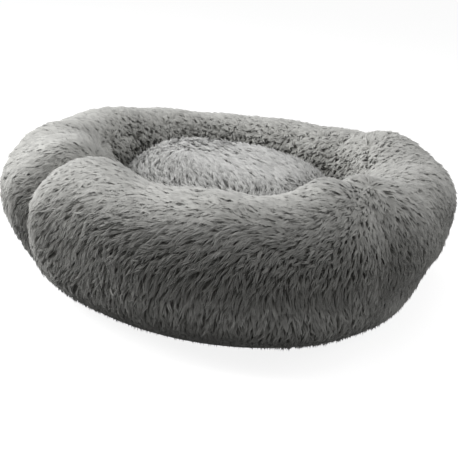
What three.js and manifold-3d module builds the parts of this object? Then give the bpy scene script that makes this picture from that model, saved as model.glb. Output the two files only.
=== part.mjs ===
// Donut pet bed: a round plush rim filled with fibre, and a thick cushion that drops into the well
// Millimetres, Z up; the origin is on the floor under the middle of the bed, and -Y is the front

import * as THREE from 'three';
import Module from 'manifold-3d';
import { mergeVertices } from 'three/addons/utils/BufferGeometryUtils.js';

const wasm = await Module();
wasm.setup();

// The bed as bought
const bedDiameter = 600;
const bedHeight = 169;
const rimWidth = 140;
const panelCount = 8;
const firstSeamAngle = THREE.MathUtils.degToRad(40);

// Cloths, and the gaps that sewn or stacked layers keep
const plushThickness = 16;
const baseClothThickness = 1.6;
const liningThickness = 1.2;
const linerThickness = 1;
const nestGap = 0.4;
const fitGap = 0.3;

// Seat cushion
const cushionThickness = 130;
const cushionClearance = 3;
const cushionWaistShare = 0.385;

// Base seam and the wadding in the floor
const bindingHeight = 5;
const bindingProud = 1;
const waddingInset = 7;
const waddingOverZip = 1.5;
const waddingSlack = 1;

// Zip in the base, closed with the slider at its +X end
const zipLength = 300;
const coilWidth = 2.4;
const coilHeight = 1.4;
const coilSlit = 1.8;
const tapeWidth = 16.1;
const tapeThickness = 0.6;
const tapeOverhang = 1.4;
const tapeTail = 2.4;
const stopLength = 3;

// Slider of the zip and its pull
const sliderLength = 12;
const sliderNoseWidth = 6.4;
const sliderPlate = 1.2;
const sliderNeckWidth = 1.2;
const sliderNeckLength = 4;
const sliderGuide = 1;
const bailLength = 8;
const bailWidth = 2;
const bailWire = 0.8;
const bailClearance = 0.3;
const pullLength = 27;
const pullThickness = 1.2;
const pullArmWidth = 1.3;
const pullSlotLength = 4.4;
const pullTipWidth = 7.6;
const channelSpare = 20;

// Shape of the rim's section and of its seams, as shares and exponents
const upperRoundness = 2.2;
const lowerRoundness = 2.45;
const hemTuckShare = 0.8;
const cushionUpperRoundness = 2.6;
const cushionLowerRoundness = 3.5;
const seamReachShare = 0.22;
const seamShiftShares = [-0.05, 0, 0, 0, -0.14, -0.12, 0, 0];
const seamPinchShares = [0.07, 0.04, 0.04, 0.08, 0.16, 0.02, 0.1, 0.04];
const outwardSwellShares = [0, 0.05, -0.01, 0.105, -0.07, -0.09, -0.178, 0.235];
const crestSwellShares = [-0.145, -0.22, -0.055, 0.045, 0.01, 0.08, 0.06, 0.235];
const lowSwellShares = [0, 0, 0, -0.21, 0.09, 0.5, -0.485, 0.05];
const panelStepShares = [0, 0.05, 0.13, 0.25, 0.42, 0.58, 0.75, 0.87, 0.95];

// How finely round shapes are cut
const sectionSteps = 16;
const fadeTurn = THREE.MathUtils.degToRad(55);
const linerSlitHalfTurn = THREE.MathUtils.degToRad(8);
const cushionSeamTurn = THREE.MathUtils.degToRad(-50);
const cushionSides = 48;
const halfDiscSteps = 32;
const discSteps = 64;

// Levels, from the floor up
const floorLevel = 0;
const quarterTurn = Math.PI / 2;
const bailBottom = fitGap;
const pullReach = Math.SQRT2 * pullThickness / 2 + bailClearance;
const pullAxisLevel = bailBottom + bailWire + pullReach;
const lowerPlateBottom = pullAxisLevel + pullReach;
const coilBottom = lowerPlateBottom + sliderPlate + fitGap;
const coilTop = coilBottom + coilHeight;
const tapeBottom = coilTop + fitGap;
const tapeTop = tapeBottom + tapeThickness;
const upperPlateBottom = tapeTop + fitGap;
const upperPlateTop = upperPlateBottom + sliderPlate;
const waddingBottom = baseClothThickness + fitGap;
const grooveTop = upperPlateTop + fitGap;
const waddingTop = grooveTop + waddingOverZip;
const floorLiningBottom = waddingTop + fitGap;
const floorLiningTop = floorLiningBottom + liningThickness;
const cushionBottom = floorLiningTop + fitGap;
const bindingBottom = baseClothThickness + fitGap;
const bindingTop = bindingBottom + bindingHeight;
const outerHemLevel = bindingTop + nestGap;
const innerHemLevel = floorLiningTop + fitGap;

// The rim's section: a rounded ring, with one skin for each layer of it
const rimHalfWidth = rimWidth / 2;
const rimCentreRadius = bedDiameter / 2 - rimHalfWidth;
const rimMiddle = bedHeight / 2;
const panelAngle = 2 * Math.PI / panelCount;

const coverOuterSkin = { across: rimHalfWidth, up: rimMiddle, down: rimMiddle };
const coverInnerSkin = {
  across: rimHalfWidth - plushThickness,
  up: rimMiddle - plushThickness,
  down: rimMiddle - baseClothThickness,
};
const linerOuterSkin = inside(coverInnerSkin, nestGap);
const linerInnerSkin = inside(linerOuterSkin, linerThickness);
const fillingSkin = inside(linerInnerSkin, nestGap);

const outerHemTurn = -turnAtLevel(outerHemLevel);
const innerHemTurn = Math.PI + turnAtLevel(innerHemLevel);
const coverTurns = evenSteps(outerHemTurn, innerHemTurn, sectionSteps);
const linerTurns = [
  linerSlitHalfTurn - quarterTurn,
  ...coverTurns,
  3 * quarterTurn - linerSlitHalfTurn,
];

const outerHemRadius = rimPoint(coverOuterSkin, outerHemTurn, firstSeamAngle).radius;
const outerHemInside = rimPoint(coverInnerSkin, outerHemTurn, firstSeamAngle).radius;
const innerHemRadius = rimPoint(coverOuterSkin, innerHemTurn, firstSeamAngle).radius;
const innerHemInside = rimPoint(coverInnerSkin, innerHemTurn, firstSeamAngle).radius;
const baseRadius = outerHemRadius;
const floorLiningRadius = (innerHemRadius + innerHemInside) / 2;
const waddingRadius = floorLiningRadius - waddingInset;

// The cushion fills the well up to its clearance
const cushionRadius = rimCentreRadius - rimHalfWidth - cushionClearance;
const cushionWaist = cushionBottom + cushionThickness * cushionWaistShare;
const cushionCrown = cushionBottom + cushionThickness;
const cushionOuterSkin = {
  across: cushionRadius,
  up: cushionCrown - cushionWaist,
  down: cushionWaist - cushionBottom,
};
const cushionInnerSkin = {
  across: cushionOuterSkin.across - plushThickness,
  up: cushionOuterSkin.up - plushThickness,
  down: cushionOuterSkin.down - liningThickness,
};
const cushionFillingSkin = inside(cushionInnerSkin, nestGap);
const cushionSeamGapTurn = 2 * fitGap / cushionRadius;

// The zip's places along and across the base
const zipHalfLength = zipLength / 2;
const coilInner = coilSlit / 2;
const coilOuter = coilInner + coilWidth;
const tapeOuter = coilInner + tapeWidth;
const channelHalfWidth = tapeOuter - tapeOverhang - baseClothThickness;
const channelHalfLength = zipHalfLength + channelSpare;
const wallTop = tapeBottom - fitGap;
const tapeEnd = channelHalfLength + baseClothThickness + tapeTail;
const sliderHalfLength = sliderLength / 2;
const sliderHalfWidth = coilOuter + fitGap + sliderGuide;
const sliderRest = zipHalfLength - stopLength - sliderHalfLength;

// A skin set inside another by the same amount all round
function inside(skin, inset) {
  return { across: skin.across - inset, up: skin.up - inset, down: skin.down - inset };
}

function evenSteps(from, to, steps) {
  return Array.from({ length: steps + 1 }, (_, i) => from + (to - from) * i / steps);
}

// The turn below the horizontal at which the rim's outer skin reaches a level
function turnAtLevel(level) {
  return Math.asin(((rimMiddle - level) / rimMiddle) ** (lowerRoundness / 2));
}

// A rounded section: turn 0 is outermost, a quarter turn is the crest
function roundedPoint(skin, turn, upper, lower) {
  const across = Math.cos(turn);
  const rise = Math.sin(turn);
  const power = 2 / (rise < 0 ? lower : upper);
  return {
    across: Math.sign(across) * Math.abs(across) ** power * skin.across,
    rise: Math.sign(rise) * Math.abs(rise) ** power * (rise < 0 ? skin.down : skin.up),
  };
}

// How far the section may swell or be pinched: not at the hems, fully above them
function freedom(turn) {
  const fromOuter = THREE.MathUtils.smoothstep(turn - outerHemTurn, 0, fadeTurn);
  const fromInner = THREE.MathUtils.smoothstep(innerHemTurn - turn, 0, fadeTurn);
  return fromOuter * fromInner;
}

// The azimuth of a seam; the one after the last is the first again, a whole turn on
function seamAngle(seam) {
  return firstSeamAngle + (seam + seamShiftShares[seam % panelCount]) * panelAngle;
}

// How far an azimuth lies past the first seam, in panels
function panelsPast(azimuth) {
  const fullTurn = panelCount * panelAngle;
  const turns = Math.floor((azimuth - seamAngle(0)) / fullTurn);
  const there = azimuth - turns * fullTurn;
  let panel = panelCount - 1;
  while (panel > 0 && seamAngle(panel) > there) panel -= 1;
  return panel + (there - seamAngle(panel)) / (seamAngle(panel + 1) - seamAngle(panel));
}

// The pinch of the nearest seam, deepest at the seam itself
function pinchAt(azimuth) {
  const past = panelsPast(azimuth);
  const seam = Math.round(past);
  const reach = Math.abs(past - seam) / seamReachShare;
  return reach < 1 ? seamPinchShares[seam % panelCount] * (1 - reach) ** 2 : 0;
}

// A swell given at the middle of each panel, eased from one panel to the next
function easedShare(shares, azimuth) {
  const past = panelsPast(azimuth) + panelCount - 0.5;
  const panel = Math.floor(past);
  const ease = THREE.MathUtils.smoothstep(past - panel, 0, 1);
  const here = shares[panel % panelCount];
  const next = shares[(panel + 1) % panelCount];
  return here + (next - here) * ease;
}

// How far the outer face is drawn in towards its hem, where the cover is gathered onto the base
function hemTuck(turn) {
  return Math.cos(turn) > 0 ? hemTuckShare * Math.max(0, -Math.sin(turn)) ** 4 : 0;
}

function rimPoint(skin, turn, azimuth) {
  const { across, rise } = roundedPoint(skin, turn, upperRoundness, lowerRoundness);
  const free = freedom(turn);
  const pinch = 1 - pinchAt(azimuth) * free;
  const facingOut = Math.max(0, Math.cos(turn));
  const facingUp = Math.max(0, Math.sin(turn));
  const facingDown = Math.max(0, -Math.sin(turn));
  const outward = 1 + easedShare(outwardSwellShares, azimuth) * free * facingOut;
  const upward = 1 + easedShare(crestSwellShares, azimuth) * free * facingUp;
  const low = 1 + easedShare(lowSwellShares, azimuth) * free * 2 * facingOut * facingDown;
  return {
    radius: rimCentreRadius + across * (1 - hemTuck(turn)) * pinch * outward * low,
    level: rimMiddle + rise * pinch * upward,
  };
}

// One closed loop of the rim, set aside from its azimuth by a small sideways shift
function rimLoop(outer, outerTurns, inner, innerTurns, azimuth, shift) {
  const flat = [
    ...outerTurns.map((turn) => rimPoint(outer, turn, azimuth)),
    ...innerTurns.map((turn) => rimPoint(inner, turn, azimuth)),
  ];
  const sin = Math.sin(azimuth);
  const cos = Math.cos(azimuth);
  return flat.map((p) => [p.radius * cos - shift * sin, p.radius * sin + shift * cos, p.level]);
}

// Joins loops of points in turn; a ring joins its last loop to its first, and has no ends
// Points from the turning place on run backwards, and their faces are split the other way, to nest
function joinLoops(loops, turningPlace, isRing) {
  const size = loops[0].length;
  const index = [];
  const spans = isRing ? loops.length : loops.length - 1;
  for (let i = 0; i < spans; i++) {
    const here = i * size;
    const next = ((i + 1) % loops.length) * size;
    for (let j = 0; j < size; j++) {
      const k = (j + 1) % size;
      if (j < turningPlace) {
        index.push(here + j, next + j, next + k, here + j, next + k, here + k);
      } else {
        index.push(here + j, next + j, here + k, here + k, next + j, next + k);
      }
    }
  }
  if (!isRing) {
    const last = (loops.length - 1) * size;
    for (let j = 0; j < size / 2 - 1; j++) {
      const far = size - 1 - j;
      index.push(j, j + 1, far - 1, j, far - 1, far);
      index.push(last + j, last + far - 1, last + j + 1, last + j, last + far, last + far - 1);
    }
  }
  const geometry = new THREE.BufferGeometry();
  geometry.setAttribute('position', new THREE.Float32BufferAttribute(loops.flat(2), 3));
  geometry.setIndex(index);
  geometry.computeVertexNormals();
  return geometry;
}

// Azimuths from one seam to just before the next
function panelAzimuths(panel) {
  const start = seamAngle(panel);
  const span = seamAngle(panel + 1) - start;
  return panelStepShares.map((share) => start + share * span);
}

function allAzimuths() {
  return Array.from({ length: panelCount }, (_, panel) => panelAzimuths(panel)).flat();
}

// One sewn panel of the rim's plush cover, open underneath
function rimCoverPanel(panel) {
  const azimuths = [...panelAzimuths(panel), seamAngle(panel + 1)];
  const backwards = [...coverTurns].reverse();
  const loops = azimuths.map((azimuth, i) => {
    const atStart = i === 0 ? fitGap / 2 : 0;
    const atEnd = i === azimuths.length - 1 ? -fitGap / 2 : 0;
    return rimLoop(coverOuterSkin, coverTurns, coverInnerSkin, backwards, azimuth, atStart + atEnd);
  });
  return joinLoops(loops, coverTurns.length, false);
}

// The bag that holds the rim's filling, with its filling slit along the bottom
function rimLiner() {
  const backwards = [...linerTurns].reverse();
  const loops = allAzimuths().map((azimuth) => (
    rimLoop(linerOuterSkin, linerTurns, linerInnerSkin, backwards, azimuth, 0)
  ));
  return joinLoops(loops, linerTurns.length, true);
}

function rimFilling() {
  const loops = allAzimuths().map((azimuth) => (
    rimLoop(fillingSkin, linerTurns, fillingSkin, [], azimuth, 0)
  ));
  return joinLoops(loops, linerTurns.length, true);
}

// A turned solid about the upright axis, from its profile of radii and levels
function turned(profile, sides) {
  const points = profile.map((p) => new THREE.Vector2(p.radius, p.level));
  return new THREE.LatheGeometry(points, sides).rotateX(quarterTurn);
}

function cushionProfile(skin, from, to, steps) {
  return evenSteps(from, to, steps).map((turn) => {
    const { across, rise } = roundedPoint(skin, turn, cushionUpperRoundness, cushionLowerRoundness);
    const onAxis = Math.abs(Math.abs(turn) - quarterTurn) < Number.EPSILON;
    return { radius: onAxis ? 0 : across, level: cushionWaist + rise };
  });
}

// The plush top and side of the seat cushion
function cushionTopCover() {
  const steps = 8;
  const outer = cushionProfile(cushionOuterSkin, cushionSeamTurn, quarterTurn, steps);
  const inner = cushionProfile(cushionInnerSkin, quarterTurn, cushionSeamTurn, steps);
  return turned([...inner, ...outer], cushionSides);
}

// The plain cloth under the cushion
function cushionUnderside() {
  const steps = 3;
  const seam = cushionSeamTurn - cushionSeamGapTurn;
  const outer = cushionProfile(cushionOuterSkin, -quarterTurn, seam, steps);
  const inner = cushionProfile(cushionInnerSkin, seam, -quarterTurn, steps);
  return turned([...outer, ...inner], cushionSides);
}

function cushionFilling() {
  const below = cushionProfile(cushionFillingSkin, -quarterTurn, cushionSeamTurn, 2);
  const above = cushionProfile(cushionFillingSkin, cushionSeamTurn, quarterTurn, 8);
  return turned([...below, ...above.slice(1)], cushionSides);
}

// A flat ring or disc between two levels
function flatRing(inner, outer, bottom, top) {
  const profile = [
    { radius: inner, level: bottom },
    { radius: outer, level: bottom },
    { radius: outer, level: top },
    { radius: inner, level: top },
  ];
  return turned(inner > 0 ? [...profile, profile[0]] : profile, discSteps);
}

function baseSeamBinding() {
  return flatRing(outerHemInside, outerHemRadius + bindingProud, bindingBottom, bindingTop);
}

function floorLining() {
  return flatRing(0, floorLiningRadius, floorLiningBottom, floorLiningTop);
}

// A box given by its lowest and highest corners
function block([x0, y0, z0], [x1, y1, z1]) {
  const box = new THREE.BoxGeometry(x1 - x0, y1 - y0, z1 - z0);
  return box.translate((x0 + x1) / 2, (y0 + y1) / 2, (z0 + z1) / 2);
}

// The same box mirrored to the front or rear side of the zip
function sideBlock(side, [x0, y0, z0], [x1, y1, z1]) {
  const near = Math.min(side * y0, side * y1);
  const far = Math.max(side * y0, side * y1);
  return block([x0, near, z0], [x1, far, z1]);
}

function toSolid(geometry) {
  const bare = geometry.clone();
  bare.deleteAttribute('normal');
  bare.deleteAttribute('uv');
  const merged = mergeVertices(bare);
  return new wasm.Manifold(new wasm.Mesh({
    numProp: 3,
    vertProperties: new Float32Array(merged.attributes.position.array),
    triVerts: new Uint32Array(merged.index.array),
  }));
}

function toGeometry(solid) {
  const mesh = solid.getMesh();
  const geometry = new THREE.BufferGeometry();
  geometry.setAttribute('position', new THREE.BufferAttribute(mesh.vertProperties, 3));
  geometry.setIndex(new THREE.BufferAttribute(mesh.triVerts, 1));
  geometry.computeVertexNormals();
  return geometry;
}

function joined(geometries) {
  return toGeometry(geometries.map(toSolid).reduce((whole, next) => whole.add(next)));
}

function extruded(shape, bottom, top, curveSegments) {
  const settings = { depth: top - bottom, bevelEnabled: false, curveSegments };
  return new THREE.ExtrudeGeometry(shape, settings).translate(0, 0, bottom);
}

// The front half disc of the base, with the zip's channel and its turned-up edge
function basePanel() {
  const seam = -fitGap / 2;
  const wall = baseClothThickness;
  const plate = new THREE.Shape();
  plate.moveTo(-baseRadius, seam);
  plate.absarc(0, seam, baseRadius, Math.PI, 2 * Math.PI, false);
  plate.lineTo(channelHalfLength, seam);
  plate.lineTo(channelHalfLength, -channelHalfWidth);
  plate.lineTo(-channelHalfLength, -channelHalfWidth);
  plate.lineTo(-channelHalfLength, seam);
  const edge = new THREE.Shape([
    new THREE.Vector2(-channelHalfLength, seam),
    new THREE.Vector2(-channelHalfLength - wall, seam),
    new THREE.Vector2(-channelHalfLength - wall, -channelHalfWidth - wall),
    new THREE.Vector2(channelHalfLength + wall, -channelHalfWidth - wall),
    new THREE.Vector2(channelHalfLength + wall, seam),
    new THREE.Vector2(channelHalfLength, seam),
    new THREE.Vector2(channelHalfLength, -channelHalfWidth),
    new THREE.Vector2(-channelHalfLength, -channelHalfWidth),
  ]);
  return joined([
    extruded(plate, floorLevel, baseClothThickness, halfDiscSteps),
    extruded(edge, floorLevel, wallTop, 1),
  ]);
}

// Wadding over the base, grooved underneath for the zip
function baseWadding() {
  const disc = toSolid(flatRing(0, waddingRadius, waddingBottom, waddingTop));
  const halfLength = tapeEnd + waddingSlack;
  const halfWidth = tapeOuter + waddingSlack;
  const groove = block(
    [-halfLength, -halfWidth, floorLevel],
    [halfLength, halfWidth, grooveTop],
  );
  return toGeometry(disc.subtract(toSolid(groove)));
}

function zipTape(side) {
  return sideBlock(side, [-tapeEnd, coilInner, tapeBottom], [tapeEnd, tapeOuter, tapeTop]);
}

function zipCoil(side) {
  const end = zipHalfLength - stopLength - fitGap;
  return sideBlock(side, [-end, coilInner, coilBottom], [end, coilOuter, coilTop]);
}

function zipTopStop(side) {
  const start = zipHalfLength - stopLength;
  return sideBlock(side, [start, coilInner, coilBottom], [zipHalfLength, coilOuter, coilTop]);
}

function zipBottomStop() {
  const end = -zipHalfLength + stopLength;
  return block([-zipHalfLength, -coilOuter, coilBottom], [end, coilOuter, coilTop]);
}

// The slider about its own middle: two plates, the neck between them, edges and the bail below
function zipSlider() {
  const tail = new THREE.Vector2(-sliderHalfLength, sliderHalfWidth);
  const shoulder = new THREE.Vector2(0, sliderHalfWidth);
  const nose = new THREE.Vector2(sliderHalfLength, sliderNoseWidth / 2);
  const across = new THREE.Vector2(1, -1);
  const half = [tail, shoulder, nose];
  const outline = new THREE.Shape([
    ...half,
    ...[...half].reverse().map((p) => p.clone().multiply(across)),
  ]);
  const lowerTop = lowerPlateBottom + sliderPlate;
  const neckStart = sliderHalfLength - sliderNeckLength;
  const guideStart = sliderHalfWidth - sliderGuide;
  const bailEnd = bailLength / 2;
  const bailSide = bailWidth / 2;
  const bail = [
    block([-bailEnd, -bailSide, bailBottom], [bailEnd, bailSide, bailBottom + bailWire]),
    ...[-1, 1].map((end) => {
      const inner = end * (bailEnd - bailWire);
      const outer = end * bailEnd;
      return block(
        [Math.min(inner, outer), -bailSide, bailBottom],
        [Math.max(inner, outer), bailSide, lowerTop],
      );
    }),
  ];
  const guides = [-1, 1].map((side) => sideBlock(
    side,
    [-sliderHalfLength, guideStart, lowerPlateBottom],
    [0, sliderHalfWidth, wallTop],
  ));
  const neck = block(
    [neckStart, -sliderNeckWidth / 2, lowerPlateBottom],
    [sliderHalfLength, sliderNeckWidth / 2, upperPlateTop],
  );
  return joined([
    extruded(outline, lowerPlateBottom, lowerTop, 1),
    extruded(outline, upperPlateBottom, upperPlateTop, 1),
    neck,
    ...guides,
    ...bail,
  ]);
}

// The pull about its hinge pin, lying flat toward -X, with the slot that goes round the bail
function zipPull() {
  const half = pullThickness / 2;
  const slotHalf = bailWidth / 2 + bailClearance;
  const rootHalf = slotHalf + pullArmWidth;
  const tipHalf = pullTipWidth / 2;
  const outline = new THREE.Shape();
  outline.moveTo(half, -rootHalf);
  outline.lineTo(half, rootHalf);
  outline.lineTo(-half - pullSlotLength, rootHalf);
  outline.lineTo(-pullLength + tipHalf, tipHalf);
  outline.absarc(-pullLength + tipHalf, 0, tipHalf, quarterTurn, 3 * quarterTurn, false);
  outline.lineTo(-half - pullSlotLength, -rootHalf);
  outline.holes.push(new THREE.Path([
    new THREE.Vector2(-half, -slotHalf),
    new THREE.Vector2(-half - pullSlotLength, -slotHalf),
    new THREE.Vector2(-half - pullSlotLength, slotHalf),
    new THREE.Vector2(-half, slotHalf),
  ]));
  return extruded(outline, -half, half, 8);
}

// Finishes
function finish(color, roughness, metalness) {
  return () => new THREE.MeshStandardMaterial({ color, roughness, metalness });
}

const plush = finish('#b2b2b0', 1, 0);
const nonWoven = finish('#e6e6e3', 0.9, 0);
const fibre = finish('#f4f4f2', 1, 0);
const baseCloth = finish('#4c4d50', 0.85, 0);
const liningCloth = finish('#8d8e8f', 0.9, 0);
const bindingCloth = finish('#5a5b5e', 0.9, 0);
const tapeCloth = finish('#55565a', 0.9, 0);
const coilPlastic = finish('#6a6b6f', 0.5, 0);
const zipMetal = finish('#9a9ca0', 0.35, 1);

const bed = new THREE.Group();

function place(name, geometry, material, at = [0, 0, 0]) {
  const mesh = new THREE.Mesh(geometry, material());
  mesh.name = name;
  mesh.position.set(...at);
  bed.add(mesh);
  return mesh;
}

for (let panel = 0; panel < panelCount; panel++) {
  place(`rim_cover_panel_${panel + 1}`, rimCoverPanel(panel), plush);
}
place('rim_liner', rimLiner(), nonWoven);
place('rim_filling', rimFilling(), fibre);
place('base_panel_front', basePanel(), baseCloth);
place('base_panel_rear', basePanel(), baseCloth).rotation.z = Math.PI;
place('base_seam_binding', baseSeamBinding(), bindingCloth);
place('base_wadding', baseWadding(), fibre);
place('floor_lining', floorLining(), liningCloth);
for (const [name, side] of [['front', -1], ['rear', 1]]) {
  place(`zip_tape_${name}`, zipTape(side), tapeCloth);
  place(`zip_coil_${name}`, zipCoil(side), coilPlastic);
  place(`zip_top_stop_${name}`, zipTopStop(side), zipMetal);
}
place('zip_bottom_stop', zipBottomStop(), zipMetal);
place('zip_slider', zipSlider(), zipMetal, [sliderRest, 0, 0]);
place('zip_pull', zipPull(), zipMetal, [sliderRest, 0, pullAxisLevel]);
place('cushion_top_cover', cushionTopCover(), plush);
place('cushion_underside', cushionUnderside(), liningCloth);
place('cushion_filling', cushionFilling(), fibre);

export default bed;
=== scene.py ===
# %% [markdown]
# # A donut pet bed in long-pile plush
#
# The bed is a thick round rim, sewn from eight panels of long-pile plush and stuffed with fibre, with a
# plump cushion dropped into the well in its middle. Underneath are a flat cloth base and a zip.
#
# A solid model of every piece comes first, as a fixed frame: it says how big each piece is and where it
# lies. This lesson dresses that frame. Each soft solid is hidden and a cloth or plush piece is built in
# the room it leaves, so nothing has to be fitted afterwards. All lengths are in metres.

# %% Load the frame
import math
from types import SimpleNamespace

import bmesh
import bpy
import numpy as np
from mathutils import Matrix, Vector


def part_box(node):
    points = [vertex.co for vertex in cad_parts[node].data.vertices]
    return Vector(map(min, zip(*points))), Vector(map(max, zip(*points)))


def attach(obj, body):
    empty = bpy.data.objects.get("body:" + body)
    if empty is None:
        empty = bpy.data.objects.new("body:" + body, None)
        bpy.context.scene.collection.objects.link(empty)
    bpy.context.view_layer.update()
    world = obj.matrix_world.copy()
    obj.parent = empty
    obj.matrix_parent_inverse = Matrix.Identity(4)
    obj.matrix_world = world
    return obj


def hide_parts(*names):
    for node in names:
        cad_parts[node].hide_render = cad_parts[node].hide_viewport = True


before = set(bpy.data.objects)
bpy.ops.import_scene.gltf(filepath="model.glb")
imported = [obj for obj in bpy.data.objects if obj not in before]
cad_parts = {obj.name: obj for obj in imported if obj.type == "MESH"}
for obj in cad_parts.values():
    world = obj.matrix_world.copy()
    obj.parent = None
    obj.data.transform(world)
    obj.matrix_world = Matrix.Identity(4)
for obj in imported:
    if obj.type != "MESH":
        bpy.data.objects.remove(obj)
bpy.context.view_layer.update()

# %% [markdown]
# ## Sizes that everything follows
#
# The rim is a ring: its section is a rounded box, swept round a circle. Three lengths fix it, and the
# cushion's come from the frame. The shares say how the eight panels differ: how deep each seam pulls in,
# and how far each panel swells outwards and upwards, read off the real bed's outline.

# %% Sizes
MM = 0.001
DEG = math.radians(1)
FULL_TURN = 2 * math.pi

BED_DIAMETER = 0.600
BED_HEIGHT = 0.169
RIM_WIDTH = 0.140

PANELS = 8
PANEL_ANGLE = FULL_TURN / PANELS
FIRST_SEAM = 40 * DEG
SEAM_SHIFT_SHARES = (-0.05, 0, 0, 0, -0.14, -0.12, 0, 0)
SEAM_PINCH_SHARES = (0.03, 0.03, 0.03, 0.08, 0.24, 0.01, 0.10, 0.03)
SEAM_REACH_SHARE = 0.22
OUTWARD_SWELL_SHARES = (0.0, 0.05, -0.01, 0.105, -0.07, -0.09, -0.178, 0.235)
CREST_SWELL_SHARES = (-0.145, -0.22, -0.055, 0.045, 0.01, 0.08, 0.06, 0.235)
LOW_SWELL_SHARES = (0.0, 0.0, 0.0, -0.21, 0.09, 0.5, -0.485, 0.05)
UPPER_ROUNDNESS = 2.2
LOWER_ROUNDNESS = 2.45
HEM_TUCK_SHARE = 0.80
HEM_THIN_SHARE = 0.1

RIM_HALF_WIDTH = RIM_WIDTH / 2
RIM_RADIUS = BED_DIAMETER / 2 - RIM_HALF_WIDTH
RIM_MIDDLE = BED_HEIGHT / 2
OUTER_HEM = -63 * DEG
INNER_HEM = 235 * DEG

cushion_low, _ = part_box("cushion_underside")
_, cushion_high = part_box("cushion_top_cover")
CUSHION_RADIUS = cushion_high.x
CUSHION_BOTTOM = cushion_low.z
CUSHION_CROWN = cushion_high.z
CUSHION_WAIST_SHARE = 0.385
CUSHION_WAIST = CUSHION_BOTTOM + CUSHION_WAIST_SHARE * (CUSHION_CROWN - CUSHION_BOTTOM)
CUSHION_UPPER_ROUNDNESS = 2.6
CUSHION_LOWER_ROUNDNESS = 3.5
print(f"rim {RIM_WIDTH:.3f} wide round a circle of {RIM_RADIUS:.3f}; cushion {CUSHION_RADIUS:.3f} in radius")

# %% [markdown]
# ## Meshes from arrays
#
# Blender can model plush with hair, but hair leaves no mesh behind. Here every fibre is a real, closed,
# tapering solid. There are nearly 200,000 of them, so they are worked out as NumPy arrays and handed to
# Blender in one go with `foreach_set`, which is much faster than adding vertices one at a time.

# %% Vectors
def unit(vectors):
    return vectors / np.maximum(np.linalg.norm(vectors, axis=-1, keepdims=True), 1e-12)


def dot(a, b):
    return (a * b).sum(-1, keepdims=True)


def smoothstep(x, low, high):
    t = np.clip((x - low) / (high - low), 0, 1)
    return t * t * (3 - 2 * t)


def polar(radius, azimuth, level):
    """Points at a radius and an azimuth round the bed's upright axis."""
    return np.stack(np.broadcast_arrays(radius * np.cos(azimuth), radius * np.sin(azimuth), level), -1)


# %% Pieces from arrays
FINISHES = {}


def mesh_object(name, points, faces, normals=None, uv=None, along=None, tint=None):
    """A new object from points (n, 3) and triangles (m, 3), with what its material reads."""
    mesh = bpy.data.meshes.new(name)
    mesh.vertices.add(len(points))
    mesh.vertices.foreach_set("co", np.asarray(points, np.float32).ravel())
    mesh.loops.add(faces.size)
    mesh.loops.foreach_set("vertex_index", np.asarray(faces, np.int32).ravel())
    mesh.polygons.add(len(faces))
    mesh.polygons.foreach_set("loop_start", np.arange(0, faces.size, 3, dtype=np.int32))
    mesh.polygons.foreach_set("use_smooth", np.ones(len(faces), bool))
    for label, values in (("along", along), ("tint", tint)):
        if values is not None:
            layer = mesh.attributes.new(label, "FLOAT", "POINT")
            layer.data.foreach_set("value", np.asarray(values, np.float32))
    if uv is not None:
        layer = mesh.uv_layers.new(name="OFBake")
        layer.data.foreach_set("uv", np.asarray(uv, np.float32)[faces.ravel()].ravel())
    mesh.update(calc_edges=True)
    if normals is not None:
        mesh.normals_split_custom_set_from_vertices(np.asarray(normals, np.float32))
    piece = bpy.data.objects.new(name, mesh)
    bpy.context.scene.collection.objects.link(piece)
    return piece


def hand_over(piece, finish, node=None, body="root"):
    """Give a piece its finish and its body; it stands for the node, where one is named."""
    piece.data.materials.clear()
    piece.data.materials.append(FINISHES[finish])
    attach(piece, body)
    if node:
        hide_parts(node)
    return piece


# %% [markdown]
# ## The shape of the rim
#
# A turn of 0 points outwards, a quarter turn is the crest, and half a turn faces the well. At each place
# the section is pulled in by the nearest seam and swollen by its panel. Stuffed cloth is never quite even,
# so a few slow waves, fixed by a seed, add lumps a few millimetres deep, and single hills and dips follow
# the larger ones of the real rim. A formula is used here, and not a sculpted mesh or a cloth simulation,
# because it also tells every lock of pile where the face under it lies.

# %% Seams, hills and lumps
DEEP_SEAM_SHARE = 0.2
SEAMS = np.array([
    FIRST_SEAM + (seam + SEAM_SHIFT_SHARES[seam % PANELS]) * PANEL_ANGLE for seam in range(PANELS + 1)
])

# Each hill or dip of the stuffing: its azimuth and turn, its width round the rim and its reach across it,
# all in degrees, then how far it moves the face outwards and upwards
HILLS = (
    (224, 94, 12, 45, 0.0, 0.004),
    (249, 95, 10, 40, 0.0, -0.003),
    (192, 60, 7, 30, 0.0, -0.004),
    (181, 95, 6, 35, 0.0, 0.003),
    (196, 0, 16, 45, 0.004, 0.0),
    (48, 80, 13, 60, 0.0, 0.004),
    (322, -30, 15, 32, -0.008, 0.0),
    (352, 128, 26, 26, -0.012, 0.003),
    (12, 45, 14, 40, 0.004, 0.004),
    (31, 62, 9, 35, 0.0, -0.004),
    (302, 108, 14, 42, -0.007, 0.016),
    (320, 114, 11, 36, -0.010, 0.012),
)

LUMP_DEPTH = 0.0022
LUMP_WAVES = {"seed": 12, "count": 14, "round_range": (3, 14), "across_range": (1, 5)}


def waves(azimuth, turn, seed, count, round_range, across_range):
    """A sum of random waves over a ring, which the seed decides."""
    rng = np.random.default_rng(seed)
    return sum(
        np.sin(
            rng.integers(*round_range) * azimuth + rng.integers(*across_range) * turn
            + rng.uniform(0, FULL_TURN)
        )
        for _ in range(count)
    )


def lumps(azimuth, turn):
    """Slow waves over the rim, from about -1 to 1."""
    return waves(azimuth, turn, **LUMP_WAVES) / math.sqrt(LUMP_WAVES["count"])


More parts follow.
